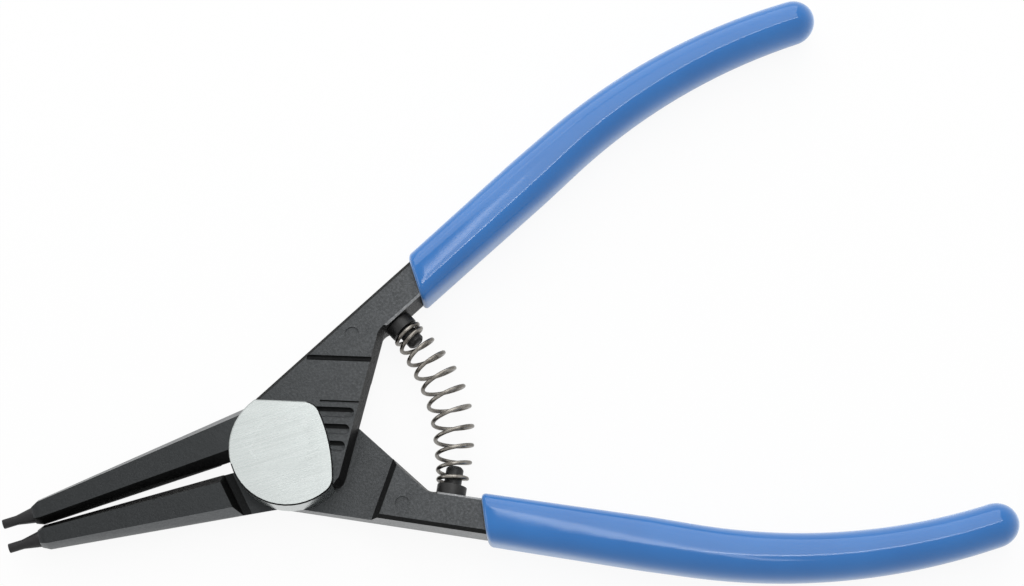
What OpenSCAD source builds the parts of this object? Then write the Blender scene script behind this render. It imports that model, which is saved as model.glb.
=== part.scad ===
// Circlip pliers for rings on shafts: two lapped levers that do not cross,
// a flush rivet, an opening spring between two studs, and dipped handle grips.
// X runs along the pliers towards the handles, Y towards the upper lever, Z up.
// The origin is on the pivot axis, on the plane that the pliers lie on.

/* [Jaws] */
// Distance from the pivot to the end of a jaw
jaw_reach = 48; // [42:0.5:60]
// Distance from the pivot to the step where a jaw thins to its lap, on the centre line
jaw_root = 12.4; // [12.2:0.1:15]
// Angle between that step and a square cut across the jaw
jaw_step_angle = 10; // [0:1:15]
// Distance from the centre line to a jaw's inner face, at its end
jaw_end_inner = 0.1; // [0.1:0.05:0.5]
// Distance from the centre line to a jaw's outer face, at its end
jaw_end_outer = 4.75; // [4.6:0.05:6]
// Height of a jaw at its end
jaw_end_height = 4.8; // [4.4:0.1:7]
// Distance from the centre line to a jaw's inner face, at its root
jaw_root_inner = 1; // [0.6:0.05:1.6]
// Distance from the centre line to a jaw's outer face, at its root
jaw_root_outer = 9.3; // [8.9:0.1:10.5]
// Height of a jaw at its root
jaw_root_height = 5.6; // [5:0.1:7.6]
// Share of a jaw's width that its sloping inner side takes
jaw_inner_share = 0.21; // [0.1:0.01:0.28]
// Share of a jaw's width that its sloping outer side takes
jaw_outer_share = 0.16; // [0.1:0.01:0.25]
// Length of the taper at the end of a jaw
jaw_nose_len = 1.4; // [0.8:0.1:2]

/* [Tips] */
// Diameter of the pin that enters a ring's eye
tip_d = 1.8; // [1.2:0.1:2.2]
// Length of that pin
tip_len = 2.7; // [2:0.1:5]
// Diameter of the cone behind the pin
tip_cone_d = 3.1; // [2.6:0.1:3.6]
// Length of that cone
tip_cone_len = 3.4; // [2:0.1:5]
// Diameter of the shank that is pressed into a jaw
tip_shank_d = 2.2; // [1.6:0.1:2.4]
// Length of that shank
tip_shank_len = 7; // [4:0.5:12]
// Distance from the centre line to a tip's axis
tip_offset = 2.4; // [2.1:0.05:3]

/* [Joint] */
// Height of the joint over both bosses
joint_height = 11; // [10:0.5:13]
// Running gap between the two laps
lap_gap = 0.1; // [0.05:0.05:0.3]
// Diameter of the rivet
rivet_d = 8; // [6:0.5:9]
// Diameter of the rivet's flush heads
rivet_head_d = 10.4; // [9.6:0.2:12]
// Depth of those heads
rivet_head_depth = 1.2; // [0.6:0.1:2]
// Running gap around the rivet
rivet_gap = 0.04; // [0.02:0.01:0.1]
// Draft of the lap's end walls, as run per unit of height
lap_draft = 0.4; // [0.1:0.05:0.45]
// Room between a boss and the step of the other jaw
boss_room = 2.3; // [2:0.05:4]
// Distance from the pivot to a boss's edge towards the other lever
boss_low = 11.9; // [11.2:0.1:12.2]
// Distance from the pivot to a boss's edge towards the handles
boss_back = 8.8; // [8.2:0.1:9.4]
// Distance from the pivot to a boss's straight edge
boss_top = 8.6; // [8:0.1:8.8]
// Radius of a boss's round side, towards the jaws
boss_r = 11.3; // [10.8:0.1:12]
// Radius of a boss's edge towards the handles
boss_back_r = 32; // [24:1:60]
// Radius of a boss's corners
boss_corner_r = 3.4; // [2:0.1:4]

/* [Arms] */
// Height of the forged lever behind the jaws
lever_height = 8.2; // [7:0.2:9]
// Bevel along the outer edges of a lever
lever_bevel = 0.7; // [0.4:0.1:1.2]
// Bevel along the inner edges of a lever
flank_bevel = 0.4; // [0.2:0.05:0.8]
// Angle between an arm and the centre line
arm_angle = 26; // [22:0.5:30]
// Distance from the pivot to the line along the middle of an arm
arm_offset = 7.3; // [6.5:0.05:8]
// Width of an arm
arm_w = 6.5; // [6.2:0.1:7.3]
// Where the flank of the lap crosses the centre line
flank_x = 14.6; // [13.6:0.05:15]
// How far the flank slopes out from a face to the middle of the lever
flank_slope = 0.75; // [0.4:0.05:1]
// Angle between the flank and the centre line
flank_angle = 59.3; // [54:0.1:64]
// Length of the flank beyond the centre line
flank_drop = 11.5; // [10.5:0.1:13]
// Radius at the foot of the flank
toe_r = 2; // [1:0.1:3]
// Radius where the flank runs into the arm
flank_fillet = 4; // [3:0.5:8]
// Distance from the pivot to the step where an arm thins to its lap
arm_step = 19.9; // [19.8:0.1:22]
// Angle between that step's normal and the centre line
arm_step_angle = 35.7; // [32:0.1:40]

/* [Face detail] */
// Angle between the rows of relief on a lever's face and the centre line
relief_turn = -19.6; // [-24:0.1:-15]
// Width of the pockets beside the boss
pocket_w = 2; // [1.2:0.1:2.4]
// Depth of those pockets
pocket_depth = 0.9; // [0.4:0.1:1.6]
// Distance from the pivot to the outermost row of pockets
pocket_row = 7; // [6.6:0.1:7.4]
// Pitch of the rows of pockets
pocket_pitch = 3.25; // [2.8:0.05:3.6]
// Distance from the pivot to the groove across the arm
groove_row = 17.5; // [16:0.1:19]
// Radius of that groove
groove_r = 0.5; // [0.4:0.05:1]
// Distance from the pivot to the fine line beside the pockets
line_row = 9; // [8.9:0.1:10]
// Radius of the fine line
line_r = 0.3; // [0.25:0.05:0.6]
// Length of the fine line
line_len = 8; // [4:0.5:9]
// Distance along an arm to its round dimple
dimple_along = 24.1; // [23:0.1:27]
// Diameter of the dimple
dimple_d = 2.8; // [1.6:0.1:3.6]
// Depth of the dimple and of the fine line
dimple_depth = 0.25; // [0.1:0.05:0.4]

/* [Handles] */
// Distance along an arm to where the handle starts to bend
bend_start = 78.8; // [72:0.2:84]
// Radius of the handle's bend
bend_radius = 120; // [100:5:180]
// Distance along an arm and its handle to the end of the steel
steel_end = 133.9; // [115:0.1:140]
// Width of the steel at the end of a handle
steel_end_w = 4.6; // [4.2:0.1:5.4]
// Height of the steel at the end of a handle
steel_end_height = 5.4; // [5:0.1:6.4]
// Where the upper grip starts, measured along the centre line
upper_grip_start = 33; // [31.5:0.1:36]
// Where the lower grip starts, measured along the centre line
lower_grip_start = 32.3; // [31.5:0.1:36]
// Angle between the upper grip's mouth and a square cut across its arm
upper_dip_angle = 25; // [5:1:28]
// Angle between the lower grip's mouth and a square cut across its arm
lower_dip_angle = 17; // [5:1:28]
// Width of a grip at its mouth
grip_mouth_w = 9.2; // [8.8:0.1:11]
// Width of a grip where it is widest
grip_w = 9.9; // [9.4:0.1:11]
// Distance along an arm to where a grip is widest
grip_w_along = 70; // [60:1:90]
// Width of a grip near its end
grip_end_w = 8.2; // [7.4:0.1:9]
// Height of a grip near its end
grip_end_height = 10; // [9.8:0.1:11]
// Thickness of the coat at the end of the upper handle
upper_coat_end = 2.6; // [2.2:0.1:6]
// Thickness of the coat at the end of the lower handle
lower_coat_end = 6; // [2.2:0.1:7]
// Gap between a grip and the steel inside it
grip_gap = 0.25; // [0.2:0.05:0.3]

/* [Spring] */
// Distance along an arm to the spring's stud
stud_along = 32.4; // [31.4:0.1:33.5]
// Diameter of a stud's collar, which the spring sits on
collar_d = 5.6; // [5:0.1:6.2]
// Length of that collar
collar_len = 2.2; // [1:0.1:2.6]
// Diameter of a stud's shank
stud_d = 3.3; // [2.4:0.1:3.6]
// Length of a stud out of its arm
stud_len = 5.9; // [4.4:0.1:7]
// Length of a stud inside its arm
stud_depth = 3.6; // [2:0.1:5]
// Diameter of the spring's wire
wire_d = 0.8; // [0.5:0.05:1]
// Outer diameter of the spring at its middle
spring_d = 8.4; // [7.4:0.1:9.4]
// Outer diameter of the spring at its ends
spring_end_d = 6.2; // [5.8:0.1:7]
// Gap between the spring and what it stands on
spring_gap = 0.15; // [0.1:0.05:0.3]
// Turns that are wound close at each end
closed_turns = 1; // [1:0.5:2]
// Turns between the closed ends
open_turns = 9; // [7:1:10]
// Angle around the spring at which its wire starts
wire_start_angle = 0; // [0:5:355]
// How much wider the middle coils are spaced, as a share of their pitch
coil_spread = 0.12; // [0:0.02:0.3]
// How far the middle of the spring bows out between its studs
spring_bow = 0.7; // [0:0.1:1.5]

/* [Hidden] */
$fn = 64;

// Clearance of the pieces that are pressed in
press_gap = 0.02;
// Bevel around a boss
boss_bevel = 0.25;
// Bevel at the end of a jaw and of a handle's steel
jaw_nose = 0.6;
// Height that a cutting shape runs past what it cuts
past = 5;
// Rest of metal between a pocket and the flank's slope
pocket_land = 0.35;
// Half the height of the flat land in the middle of a sloping side
land = 0.35;
// Points around a grip's section
grip_sides = 24;
// Points around the spring's wire
wire_sides = 6;
// Rings of the spring's wire in one turn
wire_steps = 18;

half_joint = joint_height / 2;
half_lever = lever_height / 2;
arm_in = arm_offset - arm_w / 2;
arm_out = arm_offset + arm_w / 2;
flank_dir = [cos(flank_angle), sin(flank_angle)];
flank_low = [flank_x, 0] - flank_drop * flank_dir;
flank_top = [flank_x, 0] + flank_dir * (arm_in + flank_x * sin(arm_angle)) / sin(flank_angle - arm_angle);

// Vectors and outlines
function unit(v) = v / norm(v);
function left_of(v) = [-v.y, v.x];
function half_turn(a) = a > 180 ? a - 360 : a < -180 ? a + 360 : a;
function bow(v, power) = sign(v) * pow(abs(v), power);

// The arc of radius r that rounds the corner b between a and c
function corner_arc(a, b, c, r, steps) =
    let (u = unit(a - b), v = unit(c - b), half = acos(u * v) / 2)
    let (middle = b + unit(u + v) * r / sin(half))
    let (from = b + u * r / tan(half) - middle, to = b + v * r / tan(half) - middle)
    let (start = atan2(from.y, from.x), turn = half_turn(atan2(to.y, to.x) - start))
    [for (i = [0:steps]) middle + r * [cos(start + turn * i / steps), sin(start + turn * i / steps)]];

// Points on an arc, without its last one
function arc(centre, r, from, to, steps) =
    [for (i = [0:steps - 1])
        let (a = from + (to - from) * i / steps)
        centre + r * [cos(a), sin(a)]];
function bearing(v) = atan2(v.y, v.x);
// Where two circles meet, on the right of the line from a to b
function meeting(a, a_r, b, b_r) =
    let (d = norm(b - a), u = (b - a) / d, run = (a_r * a_r - b_r * b_r + d * d) / (2 * d))
    a + run * u - sqrt(a_r * a_r - run * run) * left_of(u);

// An anticlockwise outline moved inwards by d
function inset(outline, d) =
    let (n = len(outline))
    [for (i = [0:n - 1])
        let (before = left_of(unit(outline[i] - outline[(i + n - 1) % n])))
        let (after = left_of(unit(outline[(i + 1) % n] - outline[i])))
        outline[i] + d * (before + after) / (1 + before * after)];

// An open chain of points moved to its left by a distance for each point
function shifted(chain, moves) =
    let (last = len(chain) - 1)
    [for (i = [0:last])
        let (back = max(i, 1), on = min(i, last - 1))
        let (before = left_of(unit(chain[back] - chain[back - 1])))
        let (after = left_of(unit(chain[on + 1] - chain[on])))
        chain[i] + moves[i] * (before + after) / (1 + before * after)];

// Faces of a skin over rings of n points each, closed at both ends
function skin_faces(n, rings) = [
    [for (k = [0:n - 1]) k],
    for (i = [0:rings - 2]) for (k = [0:n - 1]) each [
        [i * n + k, (i + 1) * n + k, (i + 1) * n + (k + 1) % n],
        [i * n + k, (i + 1) * n + (k + 1) % n, i * n + (k + 1) % n]
    ],
    [for (k = [n - 1:-1:0]) (rings - 1) * n + k]
];

module skin(rings) {
    polyhedron([for (ring = rings) each ring], skin_faces(len(rings[0]), len(rings)), convexity = 6);
}

// A plate of a convex outline between two heights, with a bevel along its upper edge
module bevelled_plate(outline, low, high, bevel) {
    layers = [[low, 0], [high - bevel, 0], [high, bevel]];
    skin([for (layer = layers) [for (p = inset(outline, layer[1])) [p.x, p.y, layer[0]]]]);
}

// The middle line of an arm and its handle: places at a distance along it and to its left
function along_arm(s, offset) =
    [s * cos(arm_angle) - offset * sin(arm_angle), s * sin(arm_angle) + offset * cos(arm_angle)];
function heading(s) = arm_angle - max(0, s - bend_start) / bend_radius * 180 / PI;
function middle_line(s) =
    along_arm(min(s, bend_start), arm_offset)
    + bend_radius * [sin(arm_angle) - sin(heading(s)), cos(heading(s)) - cos(arm_angle)];
function beside(s, offset) = middle_line(s) + offset * [-sin(heading(s)), cos(heading(s))];

// Lever
// A value that changes evenly along a jaw
function along_jaw(x, end, root) = end + (root - end) * (x + jaw_reach) / (jaw_reach - jaw_root);
// An octagonal section with its edges, the edges of its faces beside them, and how far these lie above
function octagon(inner, outer, face_in, face_out, top, drop_in, drop_out) =
    let (lower = [[face_out, -top], [outer, drop_out - top], [outer, top - drop_out], [face_out, top]])
    let (upper = [[face_in, top], [inner, top - drop_in], [inner, drop_in - top], [face_in, -top]])
    [for (p = concat(lower, upper)) [p[0].x, p[0].y, p[1]]];
// The octagon square across a handle, from its inner edge to its outer edge
function bar_ring(inner, outer, height, shrink) =
    let (across = unit(outer - inner), a = inner + shrink * across, b = outer - shrink * across)
    octagon(a, b, a + flank_bevel * across, b - lever_bevel * across, height / 2 - shrink,
        flank_bevel, lever_bevel);

function jaw_ring(x, shrink) =
    let (a = [x, along_jaw(x, jaw_end_inner, jaw_root_inner) + shrink])
    let (b = [x, along_jaw(x, jaw_end_outer, jaw_root_outer) - shrink])
    let (top = along_jaw(x, jaw_end_height, jaw_root_height) / 2 - shrink)
    octagon(a, b, a + jaw_inner_share * (b - a), b - jaw_outer_share * (b - a), top,
        top - land, top - land);

module jaw_blank() {
    nose = -jaw_reach - jaw_nose;
    skin([
        jaw_ring(nose, jaw_nose),
        jaw_ring(nose + jaw_nose_len, 0),
        jaw_ring(-jaw_root, 0),
        jaw_ring(-jaw_root / 3, 0)
    ]);
}

function steel_half_w(s) = lookup(s, [[bend_start, arm_w / 2], [steel_end, steel_end_w / 2]]);
function steel_half_h(s) = lookup(s, [[bend_start, half_lever], [steel_end, steel_end_height / 2]]);
bend_steps = 10;
fillet_steps = 5;
toe_steps = 4;
// Where the outer edge of the fillet's first section is, along the arm
shoulder = 8;
// How far the outer edge runs past the boss before it turns in under it
tuck = 0.5;
row_angle = arm_angle - relief_turn;
tuck_in = along_arm((boss_top - arm_out * cos(row_angle)) / sin(row_angle) + tuck, arm_out);
hub_low = [-jaw_root / 5, -jaw_root / 2];
hub_high = [-jaw_root / 2, 0];
fillet_end =
    flank_top * [cos(arm_angle), sin(arm_angle)] + flank_fillet * tan((flank_angle - arm_angle) / 2);

// The lap's edges, from the foot of the flank to where the handle bends: places opposite each other
inner_edge = concat(
    corner_arc([0, flank_low.y], flank_low, [flank_x, 0], toe_r, toe_steps),
    [[flank_x, 0], [flank_x, 0] + flank_dir * flank_x / 3],
    corner_arc(flank_low, flank_top, beside(bend_start, -arm_w / 2), flank_fillet, fillet_steps),
    [beside(bend_start, -arm_w / 2)]
);
outer_edge = concat(
    [for (i = [0:toe_steps]) hub_low + (hub_high - hub_low) * i / (toe_steps + 1)],
    [hub_high, tuck_in],
    [for (i = [0:fillet_steps])
        along_arm(shoulder + (fillet_end - shoulder) * i / fillet_steps, arm_out)],
    [beside(bend_start, arm_w / 2)]
);
// The share of the flank's slope left in each section: it turns into the arm's bevel in the fillet
last_section = len(inner_edge) - 1;
sloped = [for (i = [0:last_section]) min(1, max(0, (last_section - 1 - i) / fillet_steps))];
inner_drop = [for (k = sloped) flank_bevel + k * (half_lever - land - flank_bevel)];
inner_face = shifted(inner_edge, [for (k = sloped) flank_bevel + k * (flank_slope - flank_bevel)]);
outer_face = shifted(outer_edge, [for (p = outer_edge) -lever_bevel]);

function handle_ring(s, shrink) =
    let (side = steel_half_w(s))
    bar_ring(beside(s, -side), beside(s, side), 2 * steel_half_h(s), shrink);

module arm_blank() {
    bend_run = steel_end - jaw_nose - bend_start;
    skin(concat(
        [bar_ring(inner_edge[0], outer_edge[0], lever_height, 0)],
        [for (i = [1:last_section - 1])
            octagon(inner_edge[i], outer_edge[i], inner_face[i], outer_face[i], half_lever,
                inner_drop[i], lever_bevel)],
        [for (i = [0:bend_steps]) handle_ring(bend_start + bend_run * i / bend_steps, 0)],
        [handle_ring(steel_end, jaw_nose)]
    ));
}

// The boss's outline: a round side, two rounded corners, a bowed edge between them and a straight edge
boss_front = jaw_root - boss_room;
boss_centre = [boss_r - boss_front, boss_r - boss_low];
back_centre = [boss_back - boss_back_r, 0];
row_dir = [cos(relief_turn), sin(relief_turn)];
// Where a row of the relief meets a circle, towards the handles with side 1 or towards the jaws with -1
function row_meeting(row, centre, r, side) =
    let (q = row * left_of(row_dir) - centre, b = q * row_dir)
    row * left_of(row_dir) + (side * sqrt(b * b - q * q + r * r) - b) * row_dir;

low_corner = meeting(back_centre, boss_back_r - boss_corner_r, boss_centre, boss_r - boss_corner_r);
top_corner = row_meeting(boss_top - boss_corner_r, back_centre, boss_back_r - boss_corner_r, 1);
round_start = bearing(row_meeting(boss_top, boss_centre, boss_r, -1) - boss_centre);
round_end = bearing(low_corner - boss_centre);
back_start = bearing(low_corner - back_centre);
back_end = bearing(top_corner - back_centre);
boss_outline = concat(
    arc(boss_centre, boss_r, round_start, round_end + 360, 26),
    arc(low_corner, boss_corner_r, round_end, back_start, 7),
    arc(back_centre, boss_back_r, back_start, back_end, 8),
    arc(top_corner, boss_corner_r, back_end, relief_turn + 90, 8),
    [top_corner + boss_corner_r * left_of(row_dir)]
);

// What is cut from the lower half, so that the other lever's lap goes there
lap_far = 60;
step_dir = [cos(arm_step_angle), sin(arm_step_angle)];
step_foot = arm_step * step_dir;
function jaw_step(y) = [y * tan(jaw_step_angle) - jaw_root, y];
lap_outline = [
    jaw_step(-lap_far), step_foot - lap_far * left_of(step_dir),
    step_foot + lap_far * left_of(step_dir) / 2, jaw_step(lap_far / 2)
];

module lap_recess() {
    deep = half_joint + past;
    top = lap_gap / 2;
    skin([
        [for (p = inset(lap_outline, -lap_draft * deep)) [p.x, p.y, top - deep]],
        [for (p = lap_outline) [p.x, p.y, top]]
    ]);
}

// The rivet's shape, or with a gap the hole that it turns in
module rivet_shape(gap) {
    cylinder(r = rivet_d / 2 + gap, h = joint_height + 2 * gap, center = true);
    for (side = [0, 1])
        mirror([0, 0, side])
            translate([0, 0, half_joint - rivet_head_depth])
                cylinder(r1 = rivet_d / 2 + gap, r2 = rivet_head_d / 2 + gap, h = rivet_head_depth);
}

// Relief on a lever's face: along is measured along the rows, row across them
module on_face(along, row) {
    rotate([0, 0, relief_turn])
        translate([along, row, half_lever])
            children();
}
function flank_along(row, distance) =
    let (a = flank_angle - relief_turn)
    (flank_x * sin(flank_angle) - distance + row * cos(a)) / sin(a);
function edge_along(row, distance) =
    let (a = arm_angle - relief_turn)
    (row * cos(a) - arm_out + distance) / sin(a);

module pockets() {
    for (i = [0:2]) {
        row = pocket_row - i * pocket_pitch;
        end = flank_along(row, flank_slope + pocket_land + pocket_w / 2);
        on_face(end, row) {
            cylinder(d = pocket_w, h = 2 * pocket_depth, center = true);
            translate([-jaw_root, -pocket_w / 2, -pocket_depth])
                cube([jaw_root, pocket_w, 2 * pocket_depth]);
        }
    }
}

module face_groove(row, from, to, r, depth) {
    on_face(from, row)
        translate([0, 0, r - depth])
            rotate([0, 90, 0])
                cylinder(r = r, h = to - from);
}

module dimples() {
    place = along_arm(dimple_along, arm_offset);
    for (side = [-1, 1])
        translate([place.x, place.y, side * half_lever])
            cylinder(d = dimple_d, h = 2 * dimple_depth, center = true);
}

module lever() {
    difference() {
        union() {
            difference() {
                union() {
                    jaw_blank();
                    arm_blank();
                }
                lap_recess();
                pockets();
                face_groove(groove_row, edge_along(groove_row, lever_bevel), flank_along(groove_row, -past),
                    groove_r, groove_r);
                face_groove(line_row, flank_along(line_row, line_len), flank_along(line_row, flank_slope),
                    line_r, dimple_depth);
                dimples();
            }
            bevelled_plate(boss_outline, lap_gap / 2, half_joint, boss_bevel);
        }
        rivet_shape(rivet_gap);
        tip_socket();
        stud_place() {
            translate([0, 0, -stud_depth])
                cylinder(d = stud_d + 2 * press_gap, h = stud_depth + past);
            translate([0, 0, press_gap])
                cylinder(d = collar_d + 2 * press_gap, h = past);
        }
    }
}

// Tips
module tip_socket() {
    translate([-jaw_reach - jaw_nose - past, tip_offset, 0])
        rotate([0, 90, 0])
            cylinder(d = tip_shank_d + 2 * press_gap, h = tip_shank_len + past);
}

module tip() {
    translate([-jaw_reach - jaw_nose, tip_offset, 0])
        rotate([0, -90, 0]) {
            translate([0, 0, -tip_shank_len])
                cylinder(d = tip_shank_d, h = tip_shank_len);
            cylinder(d1 = tip_cone_d, d2 = tip_d, h = tip_cone_len);
            translate([0, 0, tip_cone_len])
                cylinder(d = tip_d, h = tip_len);
        }
}

// Spring and its studs
stud_foot = along_arm(stud_along, arm_in);
spring_radius = stud_foot.y / sin(arm_angle);
spring_centre = stud_foot.x - spring_radius * cos(arm_angle);
wire_start = collar_len + spring_gap + wire_d / 2;
wire_run = spring_radius * 2 * arm_angle * PI / 180 - 2 * wire_start;
closed_pitch = wire_d * 1.2;
open_run = wire_run - 2 * closed_turns * closed_pitch;
turns = 2 * closed_turns + open_turns;
end_radius = (spring_end_d - wire_d) / 2;
mid_radius = (spring_d - wire_d) / 2;

module stud_place() {
    translate([stud_foot.x, stud_foot.y, 0])
        rotate([0, 90, arm_angle - 90])
            children();
}

module stud() {
    lead = 0.5;
    stud_place() {
        translate([0, 0, -stud_depth])
            cylinder(d = stud_d, h = stud_depth + stud_len - lead);
        translate([0, 0, 2 * press_gap])
            cylinder(d = collar_d, h = collar_len - 2 * press_gap);
        translate([0, 0, stud_len - lead])
            cylinder(d1 = stud_d, d2 = stud_d - 2 * lead, h = lead);
    }
}

// The share of the open coils before a turn, how far along the spring the turn is, and its radius
function opened(t) = min(max(0, (t - closed_turns) / open_turns), 1);
function wire_along(t) =
    wire_start + closed_pitch * (t - open_turns * opened(t))
    + open_run * (opened(t) - coil_spread * sin(360 * opened(t)) / (2 * PI));
function swell(t) = max(0, sin(180 * opened(t)));
function wire_radius(t) = end_radius + (mid_radius - end_radius) * swell(t);

function wire_ring(t) =
    let (around = -arm_angle + wire_along(t) / spring_radius * 180 / PI, phase = 360 * t + wire_start_angle)
    let (out = [cos(around), sin(around), 0], up = [-sin(around), cos(around), 0])
    let (coil_out = cos(phase) * out - sin(phase) * [0, 0, 1])
    let (axis = spring_radius + spring_bow * pow(swell(t), 2))
    let (centre = [spring_centre, 0, 0] + axis * out + wire_radius(t) * coil_out)
    [for (k = [0:wire_sides - 1])
        centre + wire_d / 2 * (cos(360 * k / wire_sides) * up + sin(360 * k / wire_sides) * coil_out)];

// Grips
mouth_settle = 12;
mouth_lip = 0.3;
cap_len = 4.5;
cap_steps = 5;
skin_step = 6;
grip_taper = bend_start + 10;
hollow_steps = 12;
// How square a grip's section is in its hollow, at its mouth, where it bends and at its end: 1 is round
hollow_power = 0.28;
mouth_power = 0.6;
bend_power = 0.8;
end_power = 0.95;

function grip_half_h(s) = lookup(s, [[grip_taper, half_joint], [steel_end, grip_end_height / 2]]);
// How far along an arm a place on its middle line is, from its place along the centre line
function grip_start_along(x) = (x + arm_offset * sin(arm_angle)) / cos(arm_angle);
// A section across the grip at s, leaning by run per unit of width
function section(s, half_w, half_h, power, lean) =
    [for (k = [0:grip_sides - 1])
        let (a = 360 * k / grip_sides, side = half_w * bow(cos(a), power))
        let (p = beside(s, side) + lean * side * [cos(heading(s)), sin(heading(s))])
        [p.x, p.y, half_h * bow(sin(a), power)]];

module grip(start, dip_angle, coat_end) {
    mouth = grip_start_along(start);
    hollow_end = steel_end + grip_gap;
    cap_start = steel_end + coat_end - cap_len;
    body_steps = ceil((cap_start - mouth) / skin_step);
    function lean(s) = tan(dip_angle) * max(0, 1 - (s - mouth) / mouth_settle);
    function half_w(s) =
        lookup(s, [[mouth, grip_mouth_w / 2], [grip_w_along, grip_w / 2], [steel_end, grip_end_w / 2]]);
    function power(s) = lookup(s, [[mouth, mouth_power], [bend_start, bend_power], [steel_end, end_power]]);
    skin(concat(
        [for (i = [hollow_steps:-1:0])
            let (s = mouth + (hollow_end - mouth) * i / hollow_steps)
            section(s, steel_half_w(s) + grip_gap, steel_half_h(s) + grip_gap, hollow_power, lean(s))],
        [section(mouth, grip_mouth_w / 2 - mouth_lip, half_joint - mouth_lip, mouth_power, lean(mouth))],
        [for (i = [0:body_steps])
            let (s = i == 0 ? mouth + mouth_lip : mouth + (cap_start - mouth) * i / body_steps)
            section(s, half_w(s), grip_half_h(s), power(s), lean(s))],
        [for (i = [1:cap_steps])
            let (a = 90 * i / (cap_steps + 0.5), s = cap_start + cap_len * sin(a))
            section(s, half_w(cap_start) * cos(a), grip_half_h(cap_start) * cos(a), power(s), 0)]
    ));
}

// Lifts a piece to the plane that the pliers lie on; the lower lever is the same forging turned over
module upper_side() {
    translate([0, 0, half_joint])
        children();
}
module lower_side() {
    translate([0, 0, half_joint])
        rotate([180, 0, 0])
            children();
}

module upper_lever() { color("#2e3033") upper_side() lever(); }
module lower_lever() { color("#2a2c2f") lower_side() lever(); }
module pivot_rivet() { color("#c4c8c8") upper_side() rivet_shape(0); }
module upper_tip() { color("#35373a") upper_side() tip(); }
module lower_tip() { color("#35373a") lower_side() tip(); }
module upper_grip() { color("#2f74cf") upper_side() grip(upper_grip_start, upper_dip_angle, upper_coat_end); }
module lower_grip() { color("#2f74cf") lower_side() grip(lower_grip_start, lower_dip_angle, lower_coat_end); }
module upper_spring_stud() { color("#2b2a29") upper_side() stud(); }
module lower_spring_stud() { color("#2b2a29") lower_side() stud(); }
module opening_spring() {
    color("#8f8b83")
        upper_side()
            skin([for (i = [0:turns * wire_steps]) wire_ring(i / wire_steps)]);
}

upper_lever();
lower_lever();
pivot_rivet();
upper_tip();
lower_tip();
upper_grip();
lower_grip();
upper_spring_stud();
lower_spring_stud();
opening_spring();
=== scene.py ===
"""Circlip pliers: finished levers, dipped grips and a wound spring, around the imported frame."""
import math

import bmesh
import bpy
from mathutils import Matrix, Vector


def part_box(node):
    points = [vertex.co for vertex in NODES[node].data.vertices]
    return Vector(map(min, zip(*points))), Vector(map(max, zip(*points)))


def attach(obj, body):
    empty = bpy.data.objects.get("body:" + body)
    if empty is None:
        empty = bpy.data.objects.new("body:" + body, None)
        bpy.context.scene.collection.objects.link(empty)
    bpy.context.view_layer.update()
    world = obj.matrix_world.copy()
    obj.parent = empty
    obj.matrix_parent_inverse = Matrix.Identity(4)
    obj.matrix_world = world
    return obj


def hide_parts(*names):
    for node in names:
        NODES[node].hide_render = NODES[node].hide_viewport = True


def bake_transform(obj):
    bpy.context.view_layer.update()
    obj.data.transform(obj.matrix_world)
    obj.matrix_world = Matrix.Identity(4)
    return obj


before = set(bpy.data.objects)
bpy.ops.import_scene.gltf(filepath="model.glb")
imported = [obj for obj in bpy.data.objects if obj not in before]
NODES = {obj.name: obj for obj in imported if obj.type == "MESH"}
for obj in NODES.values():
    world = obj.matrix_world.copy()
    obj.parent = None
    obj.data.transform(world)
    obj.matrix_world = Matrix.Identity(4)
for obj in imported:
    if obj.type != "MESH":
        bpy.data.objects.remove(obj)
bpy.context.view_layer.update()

MM = 0.001
HALF_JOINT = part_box("pivot_rivet")[1].z / 2

# Camera, fitted to the photograph
IMAGE_W = 1024
FOCAL_PX = 2400
SENSOR = 36
CAMERA_PLACE = Vector((28.45, -111.14, 448.17)) * MM
CAMERA_TILT_X = math.radians(-16.204)
CAMERA_TILT_Y = math.radians(-2.161)
CAMERA_ROLL = math.radians(16.967)
CLIP_START = 10 * MM
CLIP_END = 20

# Floor
FLOOR_Z = -0.05 * MM
FLOOR_REACH = 4

# Arms and handles, as the solids have them
ARM_ANGLE = math.radians(26)
ARM_OFFSET = 7.3 * MM
ARM_W = 6.5 * MM
LEVER_H = 8.2 * MM
BEND_START = 78.8 * MM
BEND_RADIUS = 120 * MM
STEEL_END = 133.9 * MM
STUD_ALONG = 32.4 * MM
COLLAR_LEN = 2.2 * MM

# Bosses, jaws and grooves, in the upper lever's plane
BOSS_CENTRE = Vector((1.2, -0.6)) * MM
BOSS_R = 11.3 * MM
BOSS_LOW_CORNER = Vector((4.29, -7.87)) * MM
BOSS_CORNER_R = 3.4 * MM
BOSS_REACH = 13.2 * MM
BOSS_FOOT = LEVER_H / 2 + 0.05 * MM
BOSS_ROUND_END = 7 * MM
BOSS_CORNER_SHARE = 0.7
WALL_SLACK = 0.35 * MM
WALL_FOOT = 0.1 * MM
RIVET_REACH = 5.6 * MM
RIVET_SWELL = 1.0075
RELIEF_TURN = math.radians(-19.6)
GROOVE_ROW = 17.5 * MM
GROOVE_R = 0.5 * MM
GROOVE_DEPTH = 1.2 * GROOVE_R
ARM_START = 15 * MM
JAW_END = -11 * MM
JAW_STEP_ANGLE = math.radians(10)
# Where the strip of painted shade on the lap beside the jaw's step ends
SHADE_END = -10.9 * MM
LEVEL_SLACK = 0.3 * MM

# Relief pockets, with rows counted across their direction
POCKET_ROWS = (7 * MM, 3.75 * MM, 0.5 * MM)
POCKET_W = 2 * MM
POCKET_FLOOR = LEVER_H / 2 - 0.9 * MM
EDGE_R = 0.22 * MM
SCOOP_DROP = 0.65 * MM
SCOOP_STEPS = 6

# A face is an edge's slope or a wall where its normal rises less than these
FACE = 0.95
EDGE = 0.65
RIM = 0.2

# How far a normal turns to the side before a face counts as turned that way
RIM_TURN = 0.3
POCKET_TURN = 0.12
OUTER_TURN = 0.5
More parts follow.
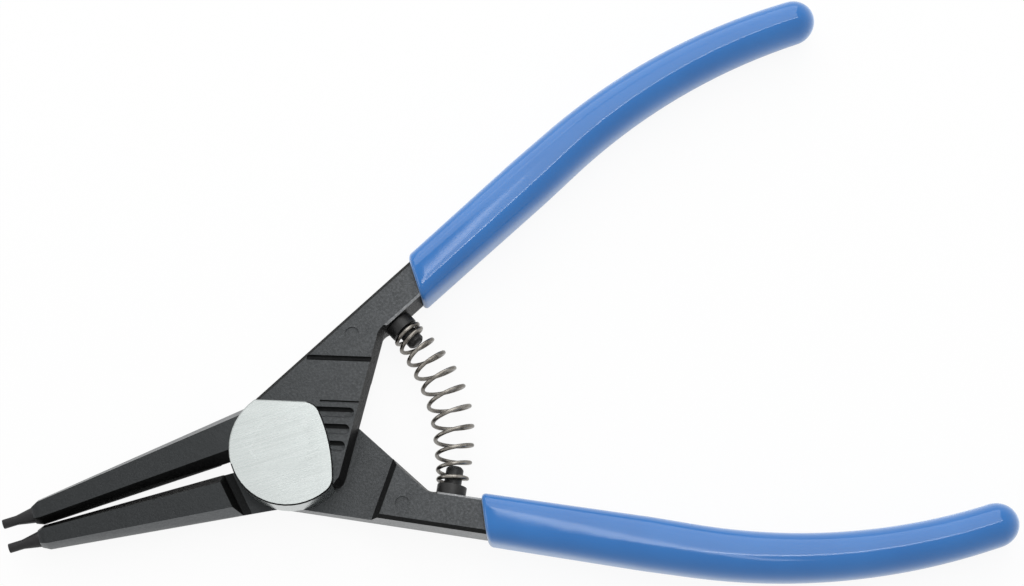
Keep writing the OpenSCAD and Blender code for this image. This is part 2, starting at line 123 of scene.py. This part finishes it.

# Finishes of a lever's faces, in the order of its materials: forging, ground boss, painted shade,
# painted light, painted highlight
FORGED, GROUND, SHADED, PAINTED_LIGHT, PAINTED_HIGHLIGHT = range(5)

# Grips
GRIP_MOUTH_W = 9.2 * MM
GRIP_W = 9.9 * MM
GRIP_W_ALONG = 70 * MM
GRIP_END_W = 8.2 * MM
GRIP_END_H = 10 * MM
GRIP_TAPER = BEND_START + 10 * MM
GRIP_SIDES = 64
GRIP_STEP = 1.5 * MM
CAP_LEN = 4.5 * MM
CAP_STEPS = 14
LIP = 1 * MM
LIP_STEPS = 8
MOUTH_SETTLE = 12 * MM
MOUTH_DEPTH = 4 * MM
CLING = 0.03 * MM

# Roundness of grip sections, from 0 for a box to 1 for an ellipse
HOLLOW_POWER = 0.4
MOUTH_POWER = 0.6
BEND_POWER = 0.8
END_POWER = 0.95

# Spring
WIRE_D = 0.8 * MM
CLOSED_PITCH = 1.2 * WIRE_D
SPRING_D = 8.4 * MM
SPRING_END_D = 6.2 * MM
SPRING_GAP = 0.15 * MM
CLOSED_TURNS = 1
OPEN_TURNS = 9
COIL_SPREAD = 0.12
SPRING_BOW = 0.7 * MM
WIRE_SIDES = 12
WIRE_STEPS = 40


# Camera and stage
def make_camera():
    data = bpy.data.cameras.new("camera")
    data.sensor_width = SENSOR
    data.lens = SENSOR * FOCAL_PX / IMAGE_W
    data.clip_start = CLIP_START
    data.clip_end = CLIP_END
    camera = bpy.data.objects.new("camera", data)
    tilt = Matrix.Rotation(CAMERA_TILT_X, 3, "X") @ Matrix.Rotation(CAMERA_TILT_Y, 3, "Y")
    turn = tilt @ Matrix.Rotation(CAMERA_ROLL, 3, "Z")
    camera.matrix_world = Matrix.Translation(CAMERA_PLACE) @ turn.transposed().to_4x4()
    bpy.context.scene.collection.objects.link(camera)
    bpy.context.scene.camera = camera


def add_softbox(name, place, target, size, radiance):
    """A rectangular lamp of even radiance that faces target."""
    data = bpy.data.lights.new(name, "AREA")
    data.shape = "RECTANGLE"
    data.size, data.size_y = size
    data.energy = radiance * math.pi * size[0] * size[1]
    lamp = bpy.data.objects.new(name, data)
    lamp.location = place
    lamp.rotation_euler = (Vector(target) - Vector(place)).to_track_quat("-Z", "Y").to_euler()
    bpy.context.scene.collection.objects.link(lamp)


def seen_white(nodes, links):
    """A factor that is 1 for what the camera, reflections and refractions see."""
    path = nodes.new("ShaderNodeLightPath")
    first = nodes.new("ShaderNodeMath")
    first.operation = "MAXIMUM"
    second = nodes.new("ShaderNodeMath")
    second.operation = "MAXIMUM"
    links.new(path.outputs["Is Camera Ray"], first.inputs[0])
    links.new(path.outputs["Is Glossy Ray"], first.inputs[1])
    links.new(first.outputs[0], second.inputs[0])
    links.new(path.outputs["Is Transmission Ray"], second.inputs[1])
    return second.outputs[0]


def make_world(strength):
    world = bpy.data.worlds.new("studio")
    world.use_nodes = True
    nodes = world.node_tree.nodes
    links = world.node_tree.links
    nodes.clear()
    fill = nodes.new("ShaderNodeBackground")
    fill.inputs["Strength"].default_value = strength
    white = nodes.new("ShaderNodeBackground")
    mix = nodes.new("ShaderNodeMixShader")
    out = nodes.new("ShaderNodeOutputWorld")
    for back in (fill, white):
        back.inputs["Color"].default_value = (1, 1, 1, 1)
    links.new(seen_white(nodes, links), mix.inputs[0])
    links.new(fill.outputs[0], mix.inputs[1])
    links.new(white.outputs[0], mix.inputs[2])
    links.new(mix.outputs[0], out.inputs["Surface"])
    bpy.context.scene.world = world


def make_floor(shadow_share):
    """A white floor just under the pliers that keeps a share of their shadow."""
    mesh = bpy.data.meshes.new("floor")
    signs = ((-1, -1), (1, -1), (1, 1), (-1, 1))
    corners = [(x * FLOOR_REACH, y * FLOOR_REACH, FLOOR_Z) for x, y in signs]
    mesh.from_pydata(corners, [], [(0, 1, 2, 3)])
    floor = bpy.data.objects.new("floor", mesh)
    bpy.context.scene.collection.objects.link(floor)
    material = bpy.data.materials.new("floor")
    material.use_nodes = True
    nodes = material.node_tree.nodes
    links = material.node_tree.links
    nodes.clear()
    matte = nodes.new("ShaderNodeBsdfDiffuse")
    matte.inputs["Color"].default_value = (0.9, 0.9, 0.9, 1)
    glow = nodes.new("ShaderNodeEmission")
    glow.inputs["Color"].default_value = (1, 1, 1, 1)
    share = nodes.new("ShaderNodeMath")
    share.operation = "MULTIPLY"
    share.inputs[1].default_value = 1 - shadow_share
    mix = nodes.new("ShaderNodeMixShader")
    out = nodes.new("ShaderNodeOutputMaterial")
    links.new(seen_white(nodes, links), share.inputs[0])
    links.new(share.outputs[0], mix.inputs[0])
    links.new(matte.outputs[0], mix.inputs[1])
    links.new(glow.outputs[0], mix.inputs[2])
    links.new(mix.outputs[0], out.inputs["Surface"])
    mesh.materials.append(material)


# Materials
class Shader:
    """A principled material and the nodes that vary it, in the part's own coordinates."""

    def __init__(self, name, constants):
        self.material = bpy.data.materials.new(name)
        self.material.use_nodes = True
        self.nodes = self.material.node_tree.nodes
        self.links = self.material.node_tree.links
        self.bsdf = self.nodes["Principled BSDF"]
        self.place = self.nodes.new("ShaderNodeTexCoord").outputs["Object"]
        for socket, value in constants.items():
            self.bsdf.inputs[socket].default_value = value

    def stretched(self, turn, scale):
        """The part's coordinates turned about Z and scaled."""
        node = self.nodes.new("ShaderNodeMapping")
        node.vector_type = "POINT"
        node.inputs["Rotation"].default_value = (0, 0, turn)
        node.inputs["Scale"].default_value = scale
        self.links.new(self.place, node.inputs["Vector"])
        return node.outputs[0]

    def noise(self, size, detail=4, roughness=0.6, place=None):
        """Noise with features of about the given size, from 0 to 1."""
        node = self.nodes.new("ShaderNodeTexNoise")
        node.inputs["Scale"].default_value = 1 / size
        node.inputs["Detail"].default_value = detail
        node.inputs["Roughness"].default_value = roughness
        self.links.new(place or self.place, node.inputs["Vector"])
        return node.outputs["Fac"]

    def spread(self, value, low, high, to_low=0, to_high=1):
        """Maps a value's range to another one."""
        node = self.nodes.new("ShaderNodeMapRange")
        node.inputs["From Min"].default_value = low
        node.inputs["From Max"].default_value = high
        node.inputs["To Min"].default_value = to_low
        node.inputs["To Max"].default_value = to_high
        self.links.new(value, node.inputs["Value"])
        return node.outputs["Result"]

    def along(self, start, end, to_low=0, to_high=1):
        """A value that changes along X between two places."""
        split = self.nodes.new("ShaderNodeSeparateXYZ")
        self.links.new(self.place, split.inputs[0])
        return self.spread(split.outputs["X"], start, end, to_low, to_high)

    def mixed(self, factor, first, second):
        """A colour between two, which are sockets or colours."""
        node = self.nodes.new("ShaderNodeMix")
        node.data_type = "RGBA"
        self.links.new(factor, node.inputs[0])
        for socket, colour in ((node.inputs[6], first), (node.inputs[7], second)):
            if isinstance(colour, tuple):
                socket.default_value = (*colour, 1)
            else:
                self.links.new(colour, socket)
        return node.outputs[2]

    def bump(self, height, distance, strength=1, under=None):
        node = self.nodes.new("ShaderNodeBump")
        node.inputs["Distance"].default_value = distance
        if isinstance(strength, bpy.types.NodeSocket):
            self.links.new(strength, node.inputs["Strength"])
        else:
            node.inputs["Strength"].default_value = strength
        self.links.new(height, node.inputs["Height"])
        if under:
            self.links.new(under, node.inputs["Normal"])
        return node.outputs[0]

    def set(self, socket, value):
        self.links.new(value, self.bsdf.inputs[socket])


def forged_steel(name, dark, light, specular, rough):
    """Blackened forging: smooth and dark at the jaws, greyer and coarser towards the handles."""
    gloss = {"Metallic": 0, "Specular IOR Level": specular, "Specular Tint": (0.92, 0.98, 1, 1)}
    shade = Shader(name, gloss)
    grain = shade.noise(0.5 * MM, detail=5, roughness=0.7)
    patches = shade.noise(2.5 * MM, detail=3)
    worn = shade.along(-12 * MM, 30 * MM)
    deep = shade.mixed(worn, dark, light)
    fleck = shade.mixed(worn, tuple(2 * c for c in dark), tuple(3 * c for c in light))
    blend = shade.mixed(shade.spread(patches, 0.3, 0.7, 0, 0.35), deep, fleck)
    shade.set("Base Color", shade.mixed(shade.spread(grain, 0.45, 0.66), blend, fleck))
    shade.set("Roughness", shade.spread(grain, 0.3, 0.7, rough, rough + 0.16))
    lumps = shade.bump(patches, 0.1 * MM, 0.4)
    coarse = shade.along(-12 * MM, 22 * MM, 0.25, 0.9)
    shade.set("Normal", shade.bump(grain, 0.2 * MM, coarse, lumps))
    return shade.material


GRIND_TURN = math.radians(-32)
GRIND_STRETCH = (0.06, 4, 1)


def ground_steel():
    """Ground bosses and rivet: satin, with fine diagonal grinding lines."""
    shade = Shader("ground_steel", {"Metallic": 1})
    lines = shade.noise(1 * MM, detail=6, place=shade.stretched(GRIND_TURN, GRIND_STRETCH))
    broad = shade.noise(6 * MM, detail=2)
    tone = shade.mixed(shade.spread(broad, 0.3, 0.7), (0.465, 0.495, 0.487), (0.49, 0.52, 0.512))
    shade.set("Base Color", shade.mixed(shade.spread(lines, 0.55, 0.75), tone, (0.43, 0.458, 0.45)))
    shade.set("Roughness", shade.spread(lines, 0.3, 0.7, 0.22, 0.3))
    shade.set("Normal", shade.bump(lines, 0.01 * MM, 0.15))
    return shade.material


GRIP_GLOSS = {
    "Roughness": 0.1,
    "Specular IOR Level": 0.5,
    "Sheen Weight": 1,
    "Sheen Roughness": 0.45,
    "Sheen Tint": (0.62, 0.77, 1, 1),
}


def grip_vinyl():
    """Glossy dipped vinyl with a faint unevenness."""
    shade = Shader("grip_vinyl", GRIP_GLOSS)
    broad = shade.noise(14 * MM, detail=2)
    tone = shade.mixed(shade.spread(broad, 0.3, 0.7), (0.007, 0.14, 0.45), (0.01, 0.156, 0.485))
    shade.set("Base Color", tone)
    shade.set("Normal", shade.bump(shade.noise(5 * MM, detail=1), 0.08 * MM, 0.25))
    return shade.material


def spring_steel():
    """Drawn spring wire under a thin oil film."""
    shade = Shader("spring_steel", {"Metallic": 1})
    film = shade.noise(1.5 * MM, detail=3)
    tone = shade.mixed(shade.spread(film, 0.35, 0.65), (0.11, 0.1, 0.088), (0.27, 0.255, 0.23))
    shade.set("Base Color", tone)
    shade.set("Roughness", shade.spread(film, 0.3, 0.7, 0.22, 0.38))
    return shade.material


def black_steel(name, tone):
    """Blackened small pieces, smoother than the forgings."""
    shade = Shader(name, {"Metallic": 0, "Specular IOR Level": 0.35})
    grain = shade.noise(0.5 * MM, detail=4)
    lighter = tuple(2 * c for c in tone)
    shade.set("Base Color", shade.mixed(shade.spread(grain, 0.4, 0.75), tone, lighter))
    shade.set("Roughness", shade.spread(grain, 0.3, 0.7, 0.36, 0.5))
    shade.set("Normal", shade.bump(grain, 0.02 * MM, 0.4))
    return shade.material


# Pieces
def add_piece(name, mesh, body, replaced):
    """Links a finished mesh as a piece that stands for a CAD node."""
    piece = bpy.data.objects.new(name, mesh)
    bpy.context.scene.collection.objects.link(piece)
    if body:
        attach(piece, body)
    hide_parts(replaced)
    return piece


WELD = 0.001 * MM
FLAT = math.radians(0.6)
SHARP = math.radians(28)
BEVEL_STEPS = 2


def softened(node, bevel, keep=None):
    """A copy of a CAD node's mesh with whole faces and softened edges, apart from those to keep."""
    work = bmesh.new()
    work.from_mesh(NODES[node].data)
    bmesh.ops.remove_doubles(work, verts=work.verts, dist=WELD)
    bmesh.ops.dissolve_limit(work, angle_limit=FLAT, verts=work.verts, edges=work.edges)
    edges = [e for e in work.edges if e.is_manifold and e.calc_face_angle() > SHARP]
    edges = [e for e in edges if not (keep and keep(e))]
    if bevel > 0:
        bmesh.ops.bevel(
            work,
            geom=edges,
            offset=bevel,
            segments=BEVEL_STEPS,
            profile=0.5,
            affect="EDGES",
            clamp_overlap=True,
        )
    for face in work.faces:
        face.smooth = True
    mesh = bpy.data.meshes.new(node)
    work.to_mesh(mesh)
    work.free()
    mesh.set_sharp_from_angle(angle=SHARP)
    return mesh


def weigh_normals(piece):
    """Shades flat faces flat up to the softened edges around them."""
    weighted = piece.modifiers.new("normals", "WEIGHTED_NORMAL")
    weighted.keep_sharp = True


def around_rivet(edge):
    return all(Vector((v.co.x, v.co.y)).length < RIVET_REACH for v in edge.verts)


def lever_part(face, side):
    """The finish of a lever's face, from its place and direction on the lever, with painted shade
    and painted light on faces by where they sit and which way they turn.
    """
    height = side * (face.center.z - HALF_JOINT)
    flat = Vector((face.center.x, side * face.center.y))
    outward = side * face.normal.y
    rise = abs(face.normal.z)
    on_top = height > BOSS_FOOT
    on_round = abs((flat - BOSS_CENTRE).length - BOSS_R) < WALL_SLACK
    round_wall = on_round and flat.x < BOSS_ROUND_END
    low = flat - BOSS_LOW_CORNER
    on_corner = abs(low.length - BOSS_CORNER_R) < WALL_SLACK
    corner_wall = on_corner and low.y < -BOSS_CORNER_SHARE * BOSS_CORNER_R
    on_wall = height > WALL_FOOT and (round_wall or corner_wall)
    if flat.length < BOSS_REACH and (on_top or on_wall):
        # Painted shade as a dark line on the boss's rim.
        on_rim = RIM < rise < FACE and (outward < 0 or face.normal.x > RIM_TURN)
        return SHADED if on_rim else GROUND
    row = flat.y * math.cos(RELIEF_TURN) - flat.x * math.sin(RELIEF_TURN)
    # Painted shade in the groove.
    in_groove = LEVER_H / 2 - GROOVE_DEPTH < height < BOSS_FOOT - WALL_FOOT
    if in_groove and abs(row - GROOVE_ROW) < GROOVE_R:
        return SHADED
    # Painted shade on the upper sides of the relief pockets.
    sunk = POCKET_FLOOR - EDGE_R < height < LEVER_H / 2 - EDGE_R / 4
    if sunk and 0 < flat.x < ARM_START and outward < -POCKET_TURN:
        return SHADED
    if rise > FACE:
        # A strip of the lap beside the jaw's step gets painted shade.
        by_step = flat.x - math.tan(JAW_STEP_ANGLE) * flat.y < SHADE_END
        return SHADED if by_step and abs(height) < LEVEL_SLACK else FORGED
    across_jaw = flat.x < JAW_END and abs(face.normal.x) < abs(outward)
    # Edge bevels on the arms: painted shade on the outward ones, a painted highlight on the flank's.
    if rise > EDGE and flat.x > ARM_START:
        return SHADED if outward > 0 else PAINTED_HIGHLIGHT
    if rise > EDGE and not across_jaw:
        return FORGED
    # Painted light on the outer walls, and painted shade on the other walls and the jaws' cross
    # edges.
    return PAINTED_LIGHT if rise < EDGE and outward > OUTER_TURN else SHADED


def add_scoop(work, row, start, end, side):
    """Adds a round-bottomed trough with a rounded end over a pocket's floor, to a lever's mesh."""
    half = POCKET_W / 2
    turn = Matrix.Rotation(RELIEF_TURN, 2)

    def point(along, across):
        share = min(1, math.hypot(max(0, along - end), across) / half)
        flat = turn @ Vector((along, row + across))
        height = LEVER_H / 2 - EDGE_R - SCOOP_DROP * math.sqrt(1 - share ** 2)
        return work.verts.new((flat.x, side * flat.y, HALF_JOINT + side * height))

    shares = [math.sin(math.pi / 2 * i / SCOOP_STEPS) for i in range(SCOOP_STEPS + 1)]
    across = [-half * s for s in reversed(shares[1:])] + [half * s for s in shares]
    fan = []
    for j in range(2 * SCOOP_STEPS + 1):
        a = math.pi * (j / (2 * SCOOP_STEPS) - 0.5)
        reaches = [half * s for s in shares[1:]]
        fan.append([point(end + r * math.cos(a), r * math.sin(a)) for r in reaches])
    bottom = point(end, 0)
    first = [point(start, c) for c in across]
    last = list(reversed(fan[0])) + [bottom] + fan[-1]
    faces = [(first[i], last[i], last[i + 1], first[i + 1]) for i in range(len(first) - 1)]
    for near, far in zip(fan, fan[1:]):
        faces.append((bottom, near[0], far[0]))
        faces += [(near[i], near[i + 1], far[i + 1], far[i]) for i in range(SCOOP_STEPS - 1)]
    for corners in faces:
        face = work.faces.new(corners)
        face.smooth = True
        face.normal_update()
        if side * face.normal.z < 0:
            face.normal_flip()


def dress_lever(mesh, side):
    """Parts the strip of painted shade beside the jaw's step from the lap, and rounds the relief
    pockets.
    """
    work = bmesh.new()
    work.from_mesh(mesh)
    flats = [f for f in work.faces if abs(f.normal.z) > FACE]
    level = {f: side * (f.calc_center_median().z - HALF_JOINT) for f in flats}
    floors = [f for f in flats if abs(level[f] - POCKET_FLOOR) < LEVEL_SLACK]
    turn = Matrix.Rotation(-RELIEF_TURN, 2)
    floor_points = [turn @ Vector((v.co.x, side * v.co.y)) for f in floors for v in f.verts]
    lap = [f for f in flats if abs(level[f]) < LEVEL_SLACK]
    edges = list(dict.fromkeys(e for f in lap for e in f.edges))
    verts = list(dict.fromkeys(v for f in lap for v in f.verts))
    bmesh.ops.bisect_plane(
        work,
        geom=lap + edges + verts,
        plane_co=Vector((SHADE_END, 0, 0)),
        plane_no=Vector((1, -side * math.tan(JAW_STEP_ANGLE), 0)).normalized(),
    )
    for row in POCKET_ROWS:
        alongs = [p.x for p in floor_points if abs(p.y - row) < POCKET_W / 2]
        start = min(alongs) - POCKET_W
        add_scoop(work, row, start, max(alongs) + EDGE_R - POCKET_W / 2, side)
    work.to_mesh(mesh)
    work.free()


def make_lever(node, body, side, materials):
    mesh = softened(node, EDGE_R, keep=around_rivet)
    dress_lever(mesh, side)
    for material in materials:
        mesh.materials.append(material)
    for face in mesh.polygons:
        face.material_index = lever_part(face, side)
    piece = add_piece(node + "_forging", mesh, body, node)
    weigh_normals(piece)


def make_small(node, body, material, bevel):
    mesh = softened(node, bevel)
    mesh.materials.append(material)
    weigh_normals(add_piece(node + "_finish", mesh, body, node))


def make_rivet(material):
    """The rivet, swelled to its bores as the riveting leaves it."""
    mesh = softened("pivot_rivet", 0)
    mesh.transform(Matrix.Diagonal((RIVET_SWELL, RIVET_SWELL, 1, 1)))
    mesh.materials.append(material)
    weigh_normals(add_piece("pivot_rivet_finish", mesh, "lower", "pivot_rivet"))


# Grips
def heading(s):
    return ARM_ANGLE - max(0, s - BEND_START) / BEND_RADIUS


def beside(s, offset):
    """A place at s along an arm's middle line and offset to its left, in the upper lever's plane."""
    straight = min(s, BEND_START)
    angle = heading(s)
    x = straight * math.cos(ARM_ANGLE) - ARM_OFFSET * math.sin(ARM_ANGLE)
    y = straight * math.sin(ARM_ANGLE) + ARM_OFFSET * math.cos(ARM_ANGLE)
    x += BEND_RADIUS * (math.sin(ARM_ANGLE) - math.sin(angle))
    y += BEND_RADIUS * (math.cos(angle) - math.cos(ARM_ANGLE))
    return Vector((x - offset * math.sin(angle), y + offset * math.cos(angle)))


def ramp(s, *stops):
    """The value at s on straight lines between stops of (place, value)."""
    if s <= stops[0][0]:
        return stops[0][1]
    for (a, low), (b, high) in zip(stops, stops[1:]):
        if s <= b:
            return low + (high - low) * (s - a) / (b - a)
    return stops[-1][1]


def bow(v, power):
    return math.copysign(abs(v) ** power, v)


def grip_ring(s, half_w, half_h, power, lean):
    """One section across a grip."""
    ring = []
    angle = heading(s)
    for k in range(GRIP_SIDES):
        a = 2 * math.pi * k / GRIP_SIDES
        side = half_w * bow(math.cos(a), power)
        p = beside(s, side) + lean * side * Vector((math.cos(angle), math.sin(angle)))
        ring.append(Vector((p.x, p.y, half_h * bow(math.sin(a), power))))
    return ring


def ring_mesh(name, rings):
    """A smooth skin of quads over rings of points, with closed ends."""
    n = len(rings[0])
    points = [p for ring in rings for p in ring]
    faces = []
    for i in range(len(rings) - 1):
        for k in range(n):
            j = (k + 1) % n
            faces.append((i * n + k, (i + 1) * n + k, (i + 1) * n + j, i * n + j))
    faces.append(tuple(range(n)))
    faces.append(tuple((len(rings) - 1) * n + k for k in reversed(range(n))))
    mesh = bpy.data.meshes.new(name)
    mesh.from_pydata(points, [], faces)
    work = bmesh.new()
    work.from_mesh(mesh)
    bmesh.ops.recalc_face_normals(work, faces=work.faces)
    for face in work.faces:
        face.smooth = True
    work.to_mesh(mesh)
    work.free()
    return mesh


def make_grip(node, body, side, start, dip_angle, coat_end, material):
    mouth = (start + ARM_OFFSET * math.sin(ARM_ANGLE)) / math.cos(ARM_ANGLE)
    cap_start = STEEL_END + coat_end - CAP_LEN

    def half_w(s):
        wide = (GRIP_W_ALONG, GRIP_W / 2)
        return ramp(s, (mouth, GRIP_MOUTH_W / 2), wide, (STEEL_END, GRIP_END_W / 2))

    def half_h(s):
        return ramp(s, (GRIP_TAPER, HALF_JOINT), (STEEL_END, GRIP_END_H / 2))

    def power(s):
        return ramp(s, (mouth, MOUTH_POWER), (BEND_START, BEND_POWER), (STEEL_END, END_POWER))

    def lean(s):
        return math.tan(dip_angle) * max(0, 1 - (s - mouth) / MOUTH_SETTLE)

    rings = []
    inner_w = ARM_W / 2 + CLING
    inner_h = LEVER_H / 2 + CLING
    for s in (mouth + MOUTH_DEPTH, mouth + LIP / 2):
        rings.append(grip_ring(s, inner_w, inner_h, HOLLOW_POWER, lean(s)))
    for i in range(LIP_STEPS + 1):
        a = math.pi / 2 * i / LIP_STEPS
        s = mouth + LIP * (1 - math.sin(a))
        spare = LIP * math.cos(a)
        w = half_w(s) - LIP + spare
        h = HALF_JOINT - LIP + spare
        rings.append(grip_ring(s, w, h, power(s), lean(s)))
    rings[2:] = list(reversed(rings[2:]))
    steps = math.ceil((cap_start - mouth) / GRIP_STEP)
    for i in range(1, steps + 1):
        s = mouth + LIP + (cap_start - mouth - LIP) * i / steps
        rings.append(grip_ring(s, half_w(s), half_h(s), power(s), lean(s)))
    for i in range(1, CAP_STEPS + 1):
        a = math.pi / 2 * i / (CAP_STEPS + 0.5)
        s = cap_start + CAP_LEN * math.sin(a)
        w = half_w(cap_start) * math.cos(a)
        h = half_h(cap_start) * math.cos(a)
        rings.append(grip_ring(s, w, h, power(s), 0))
    rings = [[Vector((p.x, side * p.y, HALF_JOINT + side * p.z)) for p in ring] for ring in rings]
    mesh = ring_mesh(node, rings)
    mesh.materials.append(material)
    add_piece(node + "_coat", mesh, body, node)


# Spring
def make_spring(material):
    foot = Vector((
        STUD_ALONG * math.cos(ARM_ANGLE) - (ARM_OFFSET - ARM_W / 2) * math.sin(ARM_ANGLE),
        STUD_ALONG * math.sin(ARM_ANGLE) + (ARM_OFFSET - ARM_W / 2) * math.cos(ARM_ANGLE),
    ))
    radius = foot.y / math.sin(ARM_ANGLE)
    middle = foot.x - radius * math.cos(ARM_ANGLE)
    wire_start = COLLAR_LEN + SPRING_GAP + WIRE_D / 2
    open_run = radius * 2 * ARM_ANGLE - 2 * wire_start - 2 * CLOSED_TURNS * CLOSED_PITCH
    end_radius = (SPRING_END_D - WIRE_D) / 2
    mid_radius = (SPRING_D - WIRE_D) / 2
    turns = 2 * CLOSED_TURNS + OPEN_TURNS
    rings = []
    for i in range(WIRE_STEPS // 4, turns * WIRE_STEPS + WIRE_STEPS // 4 + 1):
        t = i / WIRE_STEPS
        opened = min(max(0, (t - CLOSED_TURNS) / OPEN_TURNS), 1)
        along = wire_start + CLOSED_PITCH * (min(t, turns) - OPEN_TURNS * opened)
        along += open_run * (opened - COIL_SPREAD * math.sin(2 * math.pi * opened) / (2 * math.pi))
        swell = max(0, math.sin(math.pi * opened))
        reach = end_radius + (mid_radius - end_radius) * swell
        around = along / radius - ARM_ANGLE
        phase = 2 * math.pi * t
        out = Vector((math.cos(around), math.sin(around), 0))
        up = Vector((-math.sin(around), math.cos(around), 0))
        coil_out = math.cos(phase) * out - math.sin(phase) * Vector((0, 0, 1))
        axis = radius + SPRING_BOW * swell ** 2
        centre = Vector((middle, 0, HALF_JOINT)) + axis * out + reach * coil_out
        ring = []
        for k in range(WIRE_SIDES):
            a = 2 * math.pi * k / WIRE_SIDES
            ring.append(centre + WIRE_D / 2 * (math.cos(a) * up + math.sin(a) * coil_out))
        rings.append(ring)
    mesh = ring_mesh("opening_spring", rings)
    mesh.materials.append(material)
    spring = add_piece("opening_spring_wire", mesh, None, "opening_spring")
    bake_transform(spring)


bpy.context.scene.view_settings.view_transform = "Standard"
make_camera()
make_world(strength=0.5)
make_floor(shadow_share=0.08)
add_softbox("panel", (0.28, 0.25, 0.7), target=(0.28, 0.25, 0), size=(0.46, 0.54), radiance=1.95)
add_softbox("back", (0.2, 0.72, 0.44), target=(0.05, 0.05, 0), size=(0.9, 0.62), radiance=1.8)
add_softbox("ridge", (0.3, -0.03, 0.7), target=(0.3, -0.03, 0), size=(0.42, 0.02), radiance=12)
add_softbox("window", (0.085, 0, 0.68), target=(0.085, 0, 0), size=(0.04, 0.54), radiance=3.2)
add_softbox("shoulder", (-0.1, 0.5, 0.7), target=(-0.1, 0.5, 0), size=(0.3, 0.3), radiance=1.8)
add_softbox("left", (-0.7, 0.15, 0.25), target=(0.05, 0, 0), size=(0.4, 0.3), radiance=2)

forged = forged_steel(
    "forged_steel",
    dark=(0.003, 0.0032, 0.0036),
    light=(0.03, 0.031, 0.0325),
    specular=0.38,
    rough=0.28,
)
# A near-black copy of the forging: painted shade on rims, grooves, recess sides and walls.
shaded = forged_steel(
    "forged_painted_shade",
    dark=(0.003, 0.003, 0.003),
    light=(0.004, 0.004, 0.004),
    specular=0.1,
    rough=0.3,
)
# A lighter, glossier copy of the forging: painted light on the outer walls.
painted_light = forged_steel(
    "forged_painted_light",
    dark=(0.045, 0.046, 0.048),
    light=(0.07, 0.072, 0.074),
    specular=0.9,
    rough=0.26,
)
# A still lighter copy of the forging: a painted highlight on the flanks' edge bevels.
painted_highlight = forged_steel(
    "forged_painted_highlight",
    dark=(0.12, 0.122, 0.124),
    light=(0.16, 0.162, 0.164),
    specular=0.9,
    rough=0.26,
)
ground = ground_steel()
lever_materials = (forged, ground, shaded, painted_light, painted_highlight)
make_lever("upper_lever", "upper", 1, lever_materials)
make_lever("lower_lever", "lower", -1, lever_materials)
make_rivet(ground)
tips = black_steel("tip_steel", tone=(0.005, 0.005, 0.0055))
make_small("upper_tip", "upper", tips, bevel=0.12 * MM)
make_small("lower_tip", "lower", tips, bevel=0.12 * MM)
studs = black_steel("stud_steel", tone=(0.01, 0.01, 0.01))
make_small("upper_spring_stud", "upper", studs, bevel=0.15 * MM)
make_small("lower_spring_stud", "lower", studs, bevel=0.15 * MM)
vinyl = grip_vinyl()
upper_dip = {"start": 33 * MM, "dip_angle": math.radians(25), "coat_end": 2.6 * MM}
lower_dip = {"start": 32.3 * MM, "dip_angle": math.radians(17), "coat_end": 6 * MM}
make_grip("upper_grip", "upper", 1, material=vinyl, **upper_dip)
make_grip("lower_grip", "lower", -1, material=vinyl, **lower_dip)
make_spring(spring_steel())

bpy.context.view_layer.update()
